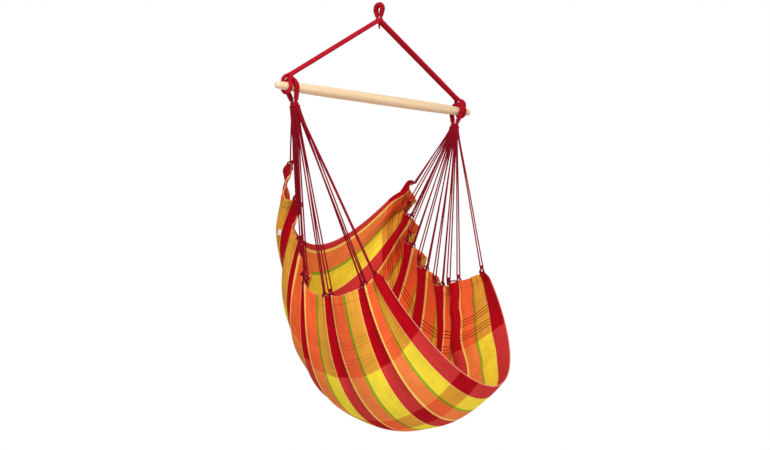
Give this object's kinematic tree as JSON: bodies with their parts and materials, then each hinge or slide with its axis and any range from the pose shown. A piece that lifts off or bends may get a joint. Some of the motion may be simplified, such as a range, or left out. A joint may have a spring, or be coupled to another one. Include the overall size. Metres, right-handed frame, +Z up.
{
  "type": "hammock chair",
  "caption": "Hanging fabric hammock chair: striped cloth seat on harness cords, whipped rope eyes, wooden spreader bar and a rope hanging eye.",
  "frame": {"origin": "top of the hole in the hanging eye, where the parent's hook bears", "axes": "+Z up, X along the spreader bar, -Y the way the sitter faces"},
  "size_m": [1, 0.8721, 1.5399],
  "materials": {
    "cotton_rope": "twisted cotton cord",
    "striped_cotton": "woven, matt",
    "beech": "sanded, clear oiled",
    "label_tape": "woven tape, blank"
  },
  "bodies": {
    "hook_eye": {"hanging_eye_core": "cotton_rope", "hanging_eye_whipping": "cotton_rope"},
    "knot": {"throat_knot": "cotton_rope", "rope_tail": "cotton_rope"},
    "ropes": {"left_suspension_rope": "cotton_rope", "right_suspension_rope": "cotton_rope"},
    "bar": {"spreader_bar": "beech"},
    "seat": {"seat_cloth": "striped_cotton", "hem_label": "label_tape", "left_harness_eye_core": "cotton_rope", "right_harness_eye_core": "cotton_rope", "left_harness_eye_whipping": "cotton_rope", "right_harness_eye_whipping": "cotton_rope", "left_neck_binding": "cotton_rope", "right_neck_binding": "cotton_rope", "left_hem_lacing_01": "cotton_rope", "left_hem_lacing_02": "cotton_rope", "left_hem_lacing_03": "cotton_rope", "left_hem_lacing_04": "cotton_rope", "left_hem_lacing_05": "cotton_rope", "left_hem_lacing_06": "cotton_rope", "left_hem_lacing_07": "cotton_rope", "right_hem_lacing_01": "cotton_rope", "right_hem_lacing_02": "cotton_rope", "right_hem_lacing_03": "cotton_rope", "right_hem_lacing_04": "cotton_rope", "right_hem_lacing_05": "cotton_rope", "right_hem_lacing_06": "cotton_rope", "right_hem_lacing_07": "cotton_rope", "left_harness_cord_01": "cotton_rope", "left_harness_cord_02": "cotton_rope", "left_harness_cord_03": "cotton_rope", "left_harness_cord_04": "cotton_rope", "left_harness_cord_05": "cotton_rope", "left_harness_cord_06": "cotton_rope", "left_harness_cord_07": "cotton_rope", "left_harness_cord_08": "cotton_rope", "left_harness_cord_09": "cotton_rope", "left_harness_cord_10": "cotton_rope", "left_harness_cord_11": "cotton_rope", "left_harness_cord_12": "cotton_rope", "right_harness_cord_01": "cotton_rope", "right_harness_cord_02": "cotton_rope", "right_harness_cord_03": "cotton_rope", "right_harness_cord_04": "cotton_rope", "right_harness_cord_05": "cotton_rope", "right_harness_cord_06": "cotton_rope", "right_harness_cord_07": "cotton_rope", "right_harness_cord_08": "cotton_rope", "right_harness_cord_09": "cotton_rope", "right_harness_cord_10": "cotton_rope", "right_harness_cord_11": "cotton_rope", "right_harness_cord_12": "cotton_rope"}
  },
  "joints": [
    {"name": "swivel", "type": "hinge", "parent": "hook_eye", "child": "knot", "pos_m": [0, 0, 0], "axis": [0, 0, 1], "continuous": true},
    {"name": "swing", "type": "hinge", "parent": "knot", "child": "ropes", "pos_m": [0, 0, -0.04444], "axis": [1, 0, 0], "range_deg": [-35, 35]},
    {"name": "seat_tilt", "type": "hinge", "parent": "ropes", "child": "seat", "pos_m": [0, 0, -0.332], "axis": [1, 0, 0], "range_deg": [-30, 30]},
    {"name": "bar_roll", "type": "hinge", "parent": "ropes", "child": "bar", "pos_m": [0, 0, -0.332], "axis": [1, 0, 0], "continuous": true}
  ]
}
